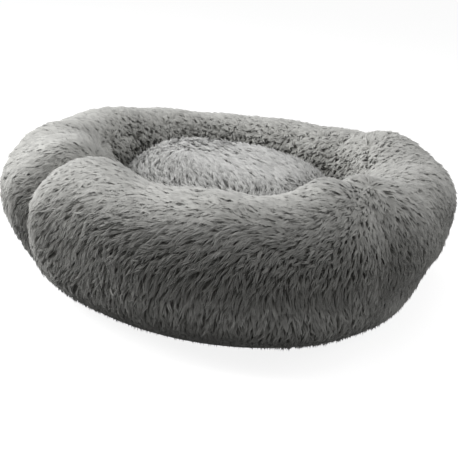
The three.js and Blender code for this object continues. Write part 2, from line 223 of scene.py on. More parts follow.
def panels_past(azimuth):
    """How far each azimuth lies past the first seam, in panels."""
    beyond = (azimuth - SEAMS[0]) % FULL_TURN
    return np.interp(beyond, SEAMS - SEAMS[0], np.arange(PANELS + 1)) % PANELS


def seam_pinch(azimuth):
    """A deep seam is a sharp valley, and a shallow one is a soft dip."""
    past = panels_past(azimuth)
    seam = np.round(past)
    reach = np.clip(np.abs(past - seam) / SEAM_REACH_SHARE, 0, 1)
    depth = np.asarray(SEAM_PINCH_SHARES)[seam.astype(int) % PANELS]
    sharp = np.clip(depth / DEEP_SEAM_SHARE, 0, 1)
    return depth * (sharp * (1 - reach) ** 2 + (1 - sharp) * (1 - reach ** 2) ** 2)


def hills(azimuth, turn):
    """How far the stuffing moves the face outwards and upwards."""
    outward, upward = 0.0, 0.0
    for centre, across, width, reach, out, height in HILLS:
        apart = (np.degrees(azimuth) - centre + 180) % 360 - 180
        rise = (np.degrees(turn) - across) / reach
        share = np.exp(-((apart / width) ** 2) - rise ** 2)
        outward, upward = outward + out * share, upward + height * share
    return outward, upward


def panel_swell(shares, azimuth):
    """Each panel's swell at its middle, easing over to the next panel's."""
    past = panels_past(azimuth) - 0.5
    here = np.floor(past).astype(int)
    ease = smoothstep(past - here, 0, 1)
    shares = np.asarray(shares)
    return shares[here % PANELS] * (1 - ease) + shares[(here + 1) % PANELS] * ease


# %% Rim surface
SWELL_FADE = 55 * DEG
TUCK_POWER = 4


def rounded(turn, across, up, down, upper, lower):
    """Outward and upward parts of a rounded section."""
    cos, sin = np.cos(turn), np.sin(turn)
    power = np.where(sin < 0, 2 / lower, 2 / upper)
    rise = np.where(sin < 0, down, up)
    return np.sign(cos) * np.abs(cos) ** power * across, np.sign(sin) * np.abs(sin) ** power * rise


def rim_point(azimuth, turn, sink, hem_sink=None):
    """Points of the rim, sunk below its outer face by sink, and by hem_sink underneath."""
    azimuth, turn = np.broadcast_arrays(azimuth, turn)
    hem_sink = HEM_THIN_SHARE * sink if hem_sink is None else hem_sink
    across, rise = rounded(
        turn, RIM_HALF_WIDTH - sink, RIM_MIDDLE - sink, RIM_MIDDLE - hem_sink,
        UPPER_ROUNDNESS, LOWER_ROUNDNESS,
    )
    from_outer_hem = smoothstep(turn, OUTER_HEM, OUTER_HEM + SWELL_FADE)
    free = from_outer_hem * smoothstep(-turn, -INNER_HEM, SWELL_FADE - INNER_HEM)
    pinch = 1 - seam_pinch(azimuth) * free
    facing_out = np.maximum(np.cos(turn), 0)
    facing_up, facing_down = np.maximum(np.sin(turn), 0), np.maximum(-np.sin(turn), 0)
    outward = 1 + panel_swell(OUTWARD_SWELL_SHARES, azimuth) * free * facing_out
    upward = 1 + panel_swell(CREST_SWELL_SHARES, azimuth) * free * facing_up
    low = 1 + panel_swell(LOW_SWELL_SHARES, azimuth) * free * 2 * facing_out * facing_down
    tuck = 1 - HEM_TUCK_SHARE * facing_down ** TUCK_POWER * (facing_out > 0)
    uneven = 1 + LUMP_DEPTH / RIM_HALF_WIDTH * lumps(azimuth, turn) * free
    hill_outward, hill_upward = hills(azimuth, turn)
    radius = RIM_RADIUS + across * pinch * outward * low * tuck * uneven + hill_outward * free
    return polar(radius, azimuth, RIM_MIDDLE + rise * pinch * upward * uneven + hill_upward * free)


def surface_frame(point_at, azimuth, turn, sink):
    """Places on a surface, with their normals, the ways round and up, and metres per radian in each."""
    step = 1e-3
    here = point_at(azimuth, turn, sink)
    round_way = (point_at(azimuth + step, turn, sink) - point_at(azimuth - step, turn, sink)) / (2 * step)
    up_way = (point_at(azimuth, turn + step, sink) - point_at(azimuth, turn - step, sink)) / (2 * step)
    return SimpleNamespace(
        point_at=point_at, azimuth=azimuth, turn=turn, sink=sink,
        point=here, normal=unit(np.cross(round_way, up_way)), round=unit(round_way), up=unit(up_way),
        round_speed=np.linalg.norm(round_way, axis=-1), up_speed=np.linalg.norm(up_way, axis=-1),
    )


crest = rim_point(np.linspace(0, FULL_TURN, 361), 90 * DEG, 0.0)[:, 2]
print(f"the rim's crest is between {crest.min():.3f} and {crest.max():.3f} high")

# %% [markdown]
# ## Laying out the locks
#
# Pile stands in small locks, a few millimetres apart. To spread them evenly over a curved face, rows run
# round the bed at equal distances along the section, and each row holds as many locks as its length asks
# for. Each row starts at a place of its own, and a little jitter hides the rows.

# %% Lock layout
LOCK_JITTER = 0.34
ROW_START = (0.15, 0.85)
INSIDE_EDGES = (0.002, 0.998)


def even_turns(point_at, low, high, spacing):
    """Turns from low to high whose points lie about spacing apart along the section."""
    fine = np.linspace(low, high, 400)
    section = point_at(np.zeros_like(fine), fine, 0.0)
    steps = np.linalg.norm(np.diff(section, axis=0), axis=1)
    length = np.concatenate([[0], np.cumsum(steps)])
    count = max(2, round(length[-1] / spacing))
    return np.interp((np.arange(count) + 0.5) / count * length[-1], length, fine)


def scatter(point_at, azimuths, turns, spacing, rng):
    """Azimuth and turn of every lock between two azimuths and two turns."""
    rows = even_turns(point_at, *turns, spacing)
    row_gap = np.gradient(rows)
    radii = np.hypot(*point_at(np.zeros_like(rows), rows, 0.0)[:, :2].T)
    span = azimuths[1] - azimuths[0]
    counts = np.maximum(1, np.round(radii * span / spacing)).astype(int)
    row = np.repeat(np.arange(len(rows)), counts)
    place = np.concatenate([np.arange(c) for c in counts])
    start = rng.uniform(*ROW_START, len(rows))[row]
    jitter = rng.uniform(-LOCK_JITTER, LOCK_JITTER, (2, len(row)))
    share = np.clip((place + start + jitter[0]) / counts[row], *INSIDE_EDGES)
    return azimuths[0] + span * share, np.clip(rows[row] + row_gap[row] * jitter[1], *turns)


# %% [markdown]
# ## Which way the pile lies
#
# Long pile hangs: on the outer face it points down. On the front crest it was stroked to the left, and past
# the right-hand seam to the right. It also radiates from two crowns, as it does where a hand has rested: one
# on the left crest and one at the pinch on the right, where it gathers into tufts. Hair could be combed by
# hand in Blender, but then nobody could read why it lies as it does. The comb below adds these pulls
# together and keeps the part that lies along the surface.

# %% Comb
COMB_AZIMUTHS = np.radians([0, 40, 90, 140, 180, 215, 250, 285, 308, 322, 345, 360])
COMB_PULLS = (-0.5, -0.2, 0.5, 0.6, 0.5, 0.9, 1.0, 1.0, 0.3, -0.7, -0.8, -0.5)
STROKE_PULL = 2.2
OUTWARD_PULL = 0.35
UNSTROKED_SHARE = 0.8

# Azimuth and turn in degrees, and reach, of the crowns that the pile radiates from, and of the tufted one
CROWNS = ((208, 118, 0.062), (316, 92, 0.050))
TUFTED_CROWN = (314, 66, 0.085)


def from_crown(place, crown):
    """The way from a crown's middle to each place, and how much each place belongs to that crown."""
    azimuth, turn, reach = crown
    away = place - rim_point(azimuth * DEG, turn * DEG, 0.0)
    return away, np.exp(-((np.linalg.norm(away, axis=-1, keepdims=True) / reach) ** 2))


def along_face(way, normal):
    return way - dot(way, normal) * normal


def comb(base, rng, straying):
    """Unit directions along the rim in which the locks lie, each straying a little."""
    azimuth, turn, normal = base.azimuth, base.turn, base.normal
    pull = np.interp(azimuth % FULL_TURN, COMB_AZIMUTHS, COMB_PULLS)
    crest = smoothstep(turn, -10 * DEG, 76 * DEG)
    crest *= 1 - UNSTROKED_SHARE * smoothstep(turn, 105 * DEG, 150 * DEG)
    way = polar(OUTWARD_PULL, azimuth, -1.0)
    way[:, 0] -= STROKE_PULL * pull * crest
    way = unit(along_face(way, normal))
    place = rim_point(azimuth, turn, 0.0)
    for crown in CROWNS:
        away, nearness = from_crown(place, crown)
        way = unit(way * (1 - nearness) + unit(along_face(away, normal)) * nearness + 1e-9)
    slow = 0.16 * np.sin(9 * azimuth + 5 * turn) + 0.14 * np.sin(23 * azimuth - 11 * turn + 2)
    return turned(way, slow + rng.normal(0, straying, len(turn)), normal)


def turned(way, angle, normal):
    """Each way, turned on the surface by its own angle."""
    return way * np.cos(angle)[:, None] + np.cross(normal, way) * np.sin(angle)[:, None]


# %% [markdown]
# ## Growing the locks
#
# A lock is a handful of fibres that start apart and gather towards one tip. Its middle line first rises,
# then lies over. It is laid out on the surface itself: a run along the surface becomes a change of azimuth
# and turn, so that the lock follows the rim's curve and its tip doesn't bristle off the face.
# Low on the outer face the rim curves away under the bed, and there the locks hang straight down instead.
# Near the cushion's middle, where a small run is a large change of azimuth, they run straight on.

# %% Middle lines of the locks
RINGS = np.array([0.0, 0.55, 1.0])
RISE_POWER = 2.2
RUN_POWER = 1.35
SWAY = 0.12
FLOOR_CLEARANCE = 0.0006
HEM_SPLAY = -0.12
HANGING_RISE = 0.8


def middle_lines(base, flow, length, lie, rng, hang=0.0, straight=0.0):
    """Points of every lock's middle line (n, rings, 3)."""
    side = np.cross(base.normal, flow)
    run_round, sway_round = [dot(way, base.round)[:, 0] / base.round_speed for way in (flow, side)]
    run_up, sway_up = [dot(way, base.up)[:, 0] / base.up_speed for way in (flow, side)]
    hang, straight = [np.broadcast_to(share, len(flow))[:, None] for share in (hang, straight)]
    steady = length * (1 - HANGING_RISE * hang[:, 0])
    bow, drift = [rng.normal(0, SWAY, len(flow)) * steady for _ in range(2)]
    outward = polar(1.0, base.azimuth, 0.0)
    down = unit(HEM_SPLAY * outward + np.array([0.0, 0.0, -1.0]))
    lines = []
    for s in RINGS:
        rise = length * np.cos(lie * math.pi / 2) * (1 - (1 - s) ** RISE_POWER)
        run = length * np.sin(lie * math.pi / 2) * s ** RUN_POWER
        sway = bow * math.sin(math.pi * s) + drift * s * s
        lying = base.point_at(
            base.azimuth + run_round * run + sway_round * sway,
            base.turn + run_up * run + sway_up * sway,
            base.sink - rise,
        )
        ahead = base.point + flow * run[:, None] + side * sway[:, None] + base.normal * rise[:, None]
        lying = lying + (ahead - lying) * straight
        hanging = base.point + outward * (rise * HANGING_RISE)[:, None] + down * run[:, None]
        lines.append(lying + (hanging - lying) * hang)
    return np.stack(lines, 1)


# %% [markdown]
# Each fibre is a three-sided prism that tapers to a point. Its normals lean towards the face's own
# normal, which is what makes pile look soft and not like straw. Each also stores how far along it a point
# is and its lock's tint, for the material to read.

# %% Fibres
TAPER = np.array([0.9, 0.85, 0.0])
FIBRE_CORNERS = (90, 210, 330)
SHORTENED = (0.0, 0.22)
THICKNESS_RANGE = (0.75, 1.25)
STRAY = 0.0011
GATHER_POWER = 0.8
FIBRE_UV = ((0.02, 0.16), (0.96, 0.82))


def fibre_faces(count):
    """Triangles of count prisms, each of three corners a ring and one tip."""
    rings = len(RINGS) - 1
    faces = []
    for ring in range(rings - 1):
        for k in range(3):
            a, b = ring * 3 + k, ring * 3 + (k + 1) % 3
            faces += [(b, a, b + 3), (b + 3, a, a + 3)]
    last = (rings - 1) * 3
    faces += [(last + (k + 1) % 3, last + k, rings * 3) for k in range(3)]
    faces.append((0, 1, 2))
    return (np.arange(count)[:, None, None] * (rings * 3 + 1) + np.array(faces)).reshape(-1, 3)


def fibres(lines, base, flow, tint, per_lock, rng, **look):
    """The fibres of every lock; look holds their spread, gather, width, softness and root, which sets how
    pale the painted shade at the root is.
    """
    n, m, rings = len(lines), per_lock, len(RINGS) - 1
    look = {measure: np.broadcast_to(amount, n)[:, None, None] for measure, amount in look.items()}
    look = SimpleNamespace(**look)
    side = np.cross(base.normal, flow)
    up = base.normal[:, None, None]
    at = RINGS[:, None]
    angle = rng.uniform(0, FULL_TURN, (n, m, 1))
    reach = look.spread * np.sqrt(rng.uniform(0.02, 1, (n, m, 1)))
    offset = reach * (np.cos(angle) * flow[:, None] + np.sin(angle) * side[:, None])
    reached = at * (1 - rng.uniform(*SHORTENED, (n, m, 1, 1)))
    shares = np.clip((reached - RINGS[:-1]) / np.diff(RINGS), 0, 1)
    centres = lines[:, None, :1] + shares @ np.diff(lines, axis=1)[:, None]
    centres += rng.normal(0, STRAY, (n, m, 1, 3)) * at ** 2
    centres += offset[:, :, None] * (1 - look.gather[..., None] * at ** GATHER_POWER)
    centres[..., 2] = np.maximum(centres[..., 2], FLOOR_CLEARANCE)
    tangent = unit(np.diff(centres, axis=2, append=2 * centres[:, :, -1:] - centres[:, :, -2:-1]))
    binormal = unit(np.cross(tangent, up + 0.01 * flow[:, None, None]))
    ridge = np.cross(binormal, tangent)
    thick = look.width[..., None] * rng.uniform(*THICKNESS_RANGE, (n, m, 1, 1)) * TAPER[:, None]
    softness = look.softness[..., None]
    points, normals = [], []
    for corner in FIBRE_CORNERS:
        out = math.cos(corner * DEG) * binormal + math.sin(corner * DEG) * ridge
        points.append(centres + thick * out)
        normals.append(unit((1 - softness) * out + softness * up))
    tips = (centres[:, :, -1], np.broadcast_to(base.normal[:, None], (n, m, 3)))
    points, normals = [
        np.concatenate([
            np.stack(corners, 3)[:, :, :rings].reshape(n * m, rings * 3, 3), tip.reshape(n * m, 1, 3),
        ], 1).reshape(-1, 3)
        for corners, tip in zip((points, normals), tips)
    ]
    # Painted shade: `along` starts at the lock's root share, so a low share paints the root dark.
    root = look.root[:, 0]
    along = np.repeat(root + (1 - root) * np.append(np.repeat(RINGS[:-1], 3), 1.0), m, axis=0)
    tones = np.broadcast_to(np.repeat(tint, m)[:, None], along.shape)
    uv = FIBRE_UV[0] + np.stack([tones, along], -1) * FIBRE_UV[1]
    return SimpleNamespace(
        points=points, faces=fibre_faces(n * m), normals=normals, uv=uv.reshape(-1, 2),
        along=along.ravel(), tint=tones.ravel(),
    )


# %% [markdown]
# ## The backing cloth
#
# The pile is knitted into a backing. It shows only between the locks, dark where it faces sideways and
# paler where it faces up and the light reaches it. It closes the piece, so it is a thin shell with an outer
# and an inner face, both grids over the same azimuths and turns.

# %% Backing
BACKING_THICKNESS = 0.0016
BACKING_STEP = 0.006
BACKING_PAINTED_LIGHT = 0.62
BACKING_TINT = 0.5
BACKING_UV = ((0.02, 0.98), (0.01, 0.12))


def grid_faces(grid):
    """Two triangles for each cell of a grid of point numbers."""
    a, b, c, d = grid[:-1, :-1], grid[:-1, 1:], grid[1:, 1:], grid[1:, :-1]
    return np.stack([a, b, c, a, c, d], -1).reshape(-1, 3)


def ring_grid(rows, columns):
    """Point numbers of a grid whose first column comes again after its last."""
    grid = np.arange(rows * columns).reshape(rows, columns)
    return np.concatenate([grid, grid[:, :1]], 1)


def shell(outer, inner, is_ring=False):
    """A closed shell between two grids of points, each (rows, columns, 3)."""
    size = outer[..., 0].size
    grid = ring_grid(*outer.shape[:2])
    sides = []
    if not is_ring:
        grid = grid[:, :-1]
        sides = [grid[:, -1], grid[:, 0][::-1]]
    top = grid_faces(grid)
    faces = [top, top[:, ::-1] + size]
    for edge in [grid[0], grid[-1][::-1]] + sides:
        p, q = edge[:-1], edge[1:]
        faces.append(np.stack([q, p, p + size, q, p + size, q + size], -1).reshape(-1, 3))
    return np.concatenate([outer.reshape(-1, 3), inner.reshape(-1, 3)]), np.concatenate(faces)


def point_normals(points, faces):
    corners = points[faces]
    flat = np.cross(corners[:, 1] - corners[:, 0], corners[:, 2] - corners[:, 0])
    total = np.zeros_like(points)
    for k in range(3):
        np.add.at(total, faces[:, k], flat)
    return unit(total)


def backing(point_at, azimuths, turns, sink):
    """The backing cloth between two azimuths and two turns."""
    columns = max(2, round(RIM_RADIUS * (azimuths[1] - azimuths[0]) / BACKING_STEP))
    rows = even_turns(point_at, *turns, BACKING_STEP)
    around, across = np.meshgrid(np.linspace(*azimuths, columns + 1), rows)
    points, faces = shell(*[point_at(around, across, sink + deep) for deep in (0.0, BACKING_THICKNESS)])
    normals = point_normals(points, faces)
    sides = [np.linspace(*side, count) for side, count in zip(BACKING_UV, (columns + 1, len(rows)))]
    uv = np.stack(np.meshgrid(*sides), -1).reshape(-1, 2)
    # Painted light: the backing's along, and so its tone, is paler where it faces up and darker where it
    # faces sideways.
    return SimpleNamespace(
        points=points, faces=faces, normals=normals, uv=np.concatenate([uv, uv]),
        along=BACKING_PAINTED_LIGHT * smoothstep(normals[:, 2], 0.2, 0.9),
        tint=np.full(len(points), BACKING_TINT),
    )


# %% [markdown]
# ## Plush as a material
#
# A fibre is darker at its root and palest at its tip: painted shade for the shade deep in the pile. Each
# lock differs a little in tone. Both facts are stored on the mesh as `along` and `tint`, and the material
# only has to turn them into colour. A touch of sheen gives the pale bloom that plush has where it is seen at
# a slant.

# %% Plush material
def new_finish(name):
    """The node tree of a new material, which is kept in FINISHES under its name."""
    material = bpy.data.materials.new(name)
    material.use_nodes = True
    FINISHES[name] = material
    return material.node_tree


def plug(tree, sockets, inputs):
    """Set each named input to its value, or link it where that is another node's output."""
    for name, value in inputs.items():
        if isinstance(value, bpy.types.NodeSocket):
            tree.links.new(value, sockets[name])
        else:
            sockets[name].default_value = value


def add_node(tree, kind, inputs, **settings):
    node = tree.nodes.new("ShaderNode" + kind)
    for setting, value in settings.items():
        setattr(node, setting, value)
    plug(tree, node.inputs, inputs)
    return node


def two_colors(tree, share, low_color, high_color, start=0.0):
    """A colour that runs from one to the other as share goes from start to 1."""
    ramp = add_node(tree, "ValToRGB", {"Fac": share})
    for element, color in zip(ramp.color_ramp.elements, (low_color, high_color)):
        element.color = (*color, 1)
    ramp.color_ramp.elements[0].position = start
    return ramp.outputs["Color"]


def surface(tree, **inputs):
    """Plug the principled shader's inputs; an underscore stands for a space."""
    sockets = tree.nodes["Principled BSDF"].inputs
    plug(tree, sockets, {name.replace("_", " "): value for name, value in inputs.items()})


def plush(name, root_shade_color, tip_color):
    tree = new_finish(name)
    along, tint = [
        add_node(tree, "Attribute", {}, attribute_name=label).outputs["Fac"] for label in ("along", "tint")
    ]
    # Painted shade: the colour runs from a dark root to a pale tip along each fibre.
    color = two_colors(tree, along, root_shade_color, tip_color, start=0.2)
    tone = add_node(tree, "MapRange", {"Value": tint, "To Min": 0.82, "To Max": 1.12}).outputs["Result"]
    toned = add_node(tree, "VectorMath", {"Vector": color, "Scale": tone}, operation="SCALE")
    surface(
        tree, Base_Color=toned.outputs["Vector"], Roughness=0.85, Specular_IOR_Level=0.25,
        Sheen_Weight=0.25, Sheen_Roughness=0.5,
    )


plush("rim_plush", root_shade_color=(0.26, 0.257, 0.237), tip_color=(0.64, 0.638, 0.61))
plush("cushion_plush", root_shade_color=(0.34, 0.34, 0.33), tip_color=(0.82, 0.82, 0.80))

# %% [markdown]
# ## The rim, panel by panel
#
# Each panel is one piece: its backing and its pile. On the outer face the pile lies nearly flat. Towards the
# well it stands up and curls, because nobody strokes it there, and at the rear that begins at the crest.
# Each measure of a lock starts at one amount, and each kind of place where it grows changes it a little.

# %% Pile helpers
PILE_LENGTH = 0.018


def mixed(measures, places):
    """Each measure of the locks: its starting amount, and what each kind of place adds to it."""
    return {
        measure: sum((amount * places[kind] for kind, amount in added.items()), start)
        for measure, (start, added) in measures.items()
    }


def grown(base, flow, length, lie, look, per_lock, rng, **bent):
    """Locks of fibres, each with a tint; bent says how much they hang or run straight."""
    tint = rng.uniform(0, 1, len(lie))
    lines = middle_lines(base, flow, length, lie, rng, **bent)
    return fibres(lines, base, flow, tint, per_lock, rng, **look)


def plush_piece(name, parts, finish, node, body):
    """Backing and pile as one padded piece that stands for the node."""
    starts = np.cumsum([0] + [len(part.points) for part in parts[:-1]])
    for part, start in zip(parts, starts):
        part.faces = part.faces + start
    whole = {key: np.concatenate([vars(part)[key] for part in parts]) for key in vars(parts[0])}
    hand_over(mesh_object(name, **whole), finish, node, body)
    print(name, "has", len(whole["faces"]), "triangles")


# %% Rim panels
BACKING_SINK = 0.0105
CREST_SINK_LESS = 0.0058
LOCK_SPACING = 0.00542
FIBRES_PER_LOCK = 6
RUFFLED_REAR = 36 * DEG
MOST_GATHER = 0.92
STRAYING = 0.13
CURL = 1.1
LIE_STRAY = 0.035
RIM_LENGTHS = (0.88, 1.08)
RIM_LOOK = {
    "lie": (0.60, {"well": -0.16, "foot": 0.12, "crest": 0.23}),
    "gather": (0.78, {"up": -0.56, "well": 0.30, "tufted": 0.30}),
    "softness": (0.27, {"up": 0.68, "well": -0.25, "foot": 0.30, "tufted": -0.15}),
    # Painted light and shade: root is paler where the pile faces up to the lamps, a little paler low on the
    # outer face, and darker in the well and on the tufts.
    "root": (0.13, {"up": 0.64, "well": -0.38, "foot": 0.15, "tufted up": -0.22}),
    "spread": (0.0027, {"up": 0.0011}),
    "width": (0.00086, {"up": 0.00036}),
}


def on_crest(turn):
    return smoothstep(np.sin(turn), 0.3, 0.95)


def rim_sink(turn):
    """How deep the backing lies below the tips of the pile: less on the crest, where the pile lies flat."""
    return BACKING_SINK - CREST_SINK_LESS * on_crest(turn)


def rim_backing_point(azimuth, turn, sink):
    return rim_point(azimuth, turn, rim_sink(turn) + sink)


def well_share(azimuth, turn):
    """How ruffled the pile is: all down the well, from higher up at the rear, and less at the right."""
    rear = RUFFLED_REAR * smoothstep(np.sin(azimuth), -0.1, 0.6)
    well = smoothstep(turn + rear, 108 * DEG, 150 * DEG)
    right = smoothstep(np.cos(azimuth), 0.70, 0.95)
    return well * (1 - 0.7 * right) + 0.35 * right * smoothstep(turn, 45 * DEG, 80 * DEG)


def rim_places(base):
    """From 0 to 1, how much each lock of the rim belongs to each kind of place."""
    azimuth, turn = base.azimuth, base.turn
    up = smoothstep(base.normal[:, 2], 0.1, 0.9)
    tufted = from_crown(base.point, TUFTED_CROWN)[1][:, 0]
    return {
        "up": up, "tufted": tufted, "tufted up": tufted * up,
        "well": well_share(azimuth, turn), "crest": on_crest(turn),
        "foot": 1 - smoothstep(turn, -20 * DEG, 30 * DEG),
        "hem": smoothstep(-turn, 24 * DEG, 50 * DEG) * (turn < 0),
    }


def rim_pile(azimuths, rng):
    turns = (OUTER_HEM + 2 * DEG, INNER_HEM - 12 * DEG)
    azimuth, turn = scatter(rim_point, azimuths, turns, LOCK_SPACING, rng)
    count = len(turn)
    base = surface_frame(rim_point, azimuth, turn, rim_sink(turn))
    places = rim_places(base)
    well, hem = places["well"], places["hem"]
    flow = comb(base, rng, STRAYING)
    flow = unit(turned(flow, rng.normal(0, CURL, count) * well, base.normal))
    length = PILE_LENGTH * rng.uniform(*RIM_LENGTHS, count) * (1 - 0.28 * well) * (1 - 0.50 * hem)
    look = mixed(RIM_LOOK, places)
    look["gather"] = np.minimum(look["gather"], MOST_GATHER) * (1 - 0.75 * hem)
    lie = look.pop("lie") + rng.normal(0, LIE_STRAY, count)
    return grown(base, flow, length, lie, look, FIBRES_PER_LOCK, rng, hang=hem)


for panel in range(PANELS):
    azimuths = (SEAMS[panel], SEAMS[panel + 1])
    cloth = backing(rim_backing_point, azimuths, (OUTER_HEM, INNER_HEM), 0.0)
    pile = rim_pile(azimuths, np.random.default_rng(100 + panel))
    plush_piece(f"rim_panel_{panel + 1}", (cloth, pile), "rim_plush", f"rim_cover_panel_{panel + 1}", "root")

# %% [markdown]
# ## The seat cushion
#
# The cushion is a plump dome, a little fuller at its left and leaning up to the rear. The tips of its pile
# point to a crown at its left. Down its side, and furthest up it at the front, the pile stands nearly
# upright, so that dark gaps open between the locks just above the rim; painted shade on the roots there
# darkens them more, and painted light makes the roots on the crown paler. It is made in four quarters,
# because one mesh would be too heavy for the library.

# %% Cushion
LEFT_PLUMP = 0.012
RIGHT_PLUMP = 0.002
REAR_LEAN = 0.10
CUSHION_PILE_SINK = 0.0080
CUSHION_FOOT_SINK = 0.0025
CUSHION_BACKING_SINK = 0.0106
CUSHION_CROWN_TURN = 71 * DEG
CUSHION_SEAM = -50 * DEG
CUSHION_LOCK_SPACING = 0.0050
CUSHION_FIBRES_PER_LOCK = 8
CUSHION_LENGTHS = (0.9, 1.08)
CUSHION_SWAY = 0.3
CUSHION_LIE_STRAY = 0.04
CUSHION_LIE_LIMITS = (0.05, 0.9)
CUSHION_LOOK = {
    "lie": (0.36, {"crown": 0.28, "foot": -0.14}),
    "gather": (0.32, {"foot": 0.45}),
    "softness": (0.88, {"foot": -0.4}),
    # Painted light and shade: the roots are paler on the crown, which faces the lamps, and darkest at the
    # foot, in the shade just above the rim.
    "root": (0.0, {"crown above foot": 0.50}),
    "spread": (0.0038, {}),
    "width": (0.0010, {"foot": -0.0003}),
}


def cushion_point(azimuth, turn, sink):
    azimuth, turn = np.broadcast_arrays(azimuth, turn)
    across, rise = rounded(
        turn, CUSHION_RADIUS - sink, CUSHION_CROWN - CUSHION_WAIST - sink,
        CUSHION_WAIST - CUSHION_BOTTOM - HEM_THIN_SHARE * sink, CUSHION_UPPER_ROUNDNESS,
        CUSHION_LOWER_ROUNDNESS,
    )
    place = polar(across, azimuth, CUSHION_WAIST + rise)
    left = LEFT_PLUMP * smoothstep(-place[..., 0], 0.0, 0.115)
    right = RIGHT_PLUMP * smoothstep(place[..., 0], 0.05, 0.11)
    place[..., 2] += np.maximum(np.sin(turn), 0) ** 0.5 * (left + right + REAR_LEAN * place[..., 1])
    return place


def cushion_pile(azimuths, rng):
    turns = (CUSHION_SEAM + 3 * DEG, 89.3 * DEG)
    azimuth, turn = scatter(cushion_point, azimuths, turns, CUSHION_LOCK_SPACING, rng)
    count = len(turn)
    crown = smoothstep(turn, 30 * DEG, 65 * DEG)
    foot = smoothstep(np.cos(turn) - 0.34 * np.sin(azimuth), 0.30, 0.72)
    look = mixed(CUSHION_LOOK, {"crown": crown, "foot": foot, "crown above foot": crown * (1 - foot)})
    base = surface_frame(cushion_point, azimuth, turn, CUSHION_PILE_SINK + CUSHION_FOOT_SINK * (1 - crown))
    near_pole = smoothstep(turn, 62 * DEG, 72 * DEG)
    slow = 0.55 * np.sin(3 * azimuth + 2) + 0.45 * np.sin(5 * azimuth + 4 * turn)
    to_crown = cushion_point(math.pi, CUSHION_CROWN_TURN, 0.0) - base.point
    to_crown = unit(along_face(to_crown, base.normal) + 1e-6)
    sway = slow * (1 - near_pole) + rng.normal(0, CUSHION_SWAY, count)
    flow = turned(to_crown, sway, base.normal)
    length = PILE_LENGTH * rng.uniform(*CUSHION_LENGTHS, count)
    lie = np.clip(look.pop("lie") + rng.normal(0, CUSHION_LIE_STRAY, count), *CUSHION_LIE_LIMITS)
    return grown(base, flow, length, lie, look, CUSHION_FIBRES_PER_LOCK, rng, straight=near_pole)


for quarter in range(4):
    azimuths = (quarter * math.pi / 2, (quarter + 1) * math.pi / 2)
    cloth = backing(cushion_point, azimuths, (CUSHION_SEAM, 89.9 * DEG), CUSHION_BACKING_SINK)
    pile = cushion_pile(azimuths, np.random.default_rng(300 + quarter))
    plush_piece(
        f"cushion_pile_{quarter + 1}", (cloth, pile), "cushion_plush", "cushion_top_cover", "cushion",
    )

# %% [markdown]
# ## Cloth, fibre, nylon and metal
#
# Under the plush lie plainer things: woven cloths, loose white fibre, nylon and metal. A picture of cloth
# would be quicker to use, but it fits one size only. So these materials are worked out, all in the same
# way. A few sines and some noise make a height, the height bumps the surface, and a ramp turns it into
# colour: hollows get painted shade, a little darker than ridges, and the noise adds an uneven tone of its
# own.

# %% Cloth and hardware materials
def math_node(tree, operation, *values):
    return add_node(tree, "Math", dict(enumerate(values)), operation=operation).outputs["Value"]


def object_place(tree):
    return add_node(tree, "TexCoord", {}).outputs["Object"]


def noise(tree, scale, detail=3.0):
    inputs = {"Scale": scale, "Detail": detail, "Vector": object_place(tree)}
    return add_node(tree, "TexNoise", inputs).outputs["Fac"]


def thread_waves(tree, pitches):
    """Sines along x and y, each crossing zero once a thread."""
    axes = add_node(tree, "SeparateXYZ", {"Vector": object_place(tree)})
    return [
        math_node(tree, "SINE", math_node(tree, "MULTIPLY", axes.outputs[axis], math.pi / pitch))
        for axis, pitch in zip("XY", pitches)
    ]


def raised(tree, height, dark, pale, depth, roughness, sheen):
    """A surface that its height both bumps and colours, with painted shade that darkens the hollows."""
    bump = add_node(tree, "Bump", {"Distance": depth, "Height": height})
    surface(
        tree, Base_Color=two_colors(tree, height, dark, pale), Normal=bump.outputs["Normal"],
        Roughness=roughness, Sheen_Weight=sheen,
    )


def woven(name, dark, pale, pitches, roughness=0.8, sheen=0.1):
    """Plain weave: each thread is a ridge, and crossing threads take turns to lie on top."""
    tree = new_finish(name)
    wave_x, wave_y = thread_waves(tree, pitches)
    x_on_top = math_node(tree, "GREATER_THAN", math_node(tree, "MULTIPLY", wave_x, wave_y), 0.0)
    y_on_top = math_node(tree, "SUBTRACT", 1.0, x_on_top)
    over_x = math_node(tree, "MULTIPLY", math_node(tree, "ABSOLUTE", wave_x), x_on_top)
    over_y = math_node(tree, "MULTIPLY", math_node(tree, "ABSOLUTE", wave_y), y_on_top)
    weave = math_node(tree, "ADD", over_x, over_y)
    wear = math_node(tree, "MULTIPLY", noise(tree, 60.0), 0.5)
    height = math_node(tree, "MULTIPLY_ADD", weave, 0.5, wear)
    raised(tree, height, dark, pale, 0.3 * min(pitches), roughness, sheen)


def pressed(name, dark, pale, pitch):
    """Non-woven cloth: matted fibre with a grid of small spots pressed into it."""
    tree = new_finish(name)
    crossing = math_node(tree, "MULTIPLY", *thread_waves(tree, (pitch, pitch)))
    spot = math_node(tree, "POWER", math_node(tree, "ABSOLUTE", crossing), 3.0)
    height = math_node(tree, "SUBTRACT", noise(tree, 900.0), math_node(tree, "MULTIPLY", spot, 0.4))
    raised(tree, height, dark, pale, depth=0.0002, roughness=0.85, sheen=0.1)


def loose_fibre(name, dark, pale):
    """Loose filling: fine fibre in soft clumps."""
    tree = new_finish(name)
    fine = math_node(tree, "MULTIPLY", noise(tree, 1200.0, detail=5.0), 0.5)
    height = math_node(tree, "MULTIPLY_ADD", noise(tree, 90.0), 0.5, fine)
    raised(tree, height, dark, pale, depth=0.0008, roughness=0.95, sheen=0.3)


def hard(name, dark, pale, scale, roughness, metallic=0.0):
    """Nylon, rubber or metal: nearly even, with faint marks of handling."""
    tree = new_finish(name)
    raised(tree, noise(tree, scale, detail=6.0), dark, pale, depth=0.00002, roughness=roughness, sheen=0.0)
    surface(tree, Metallic=metallic)


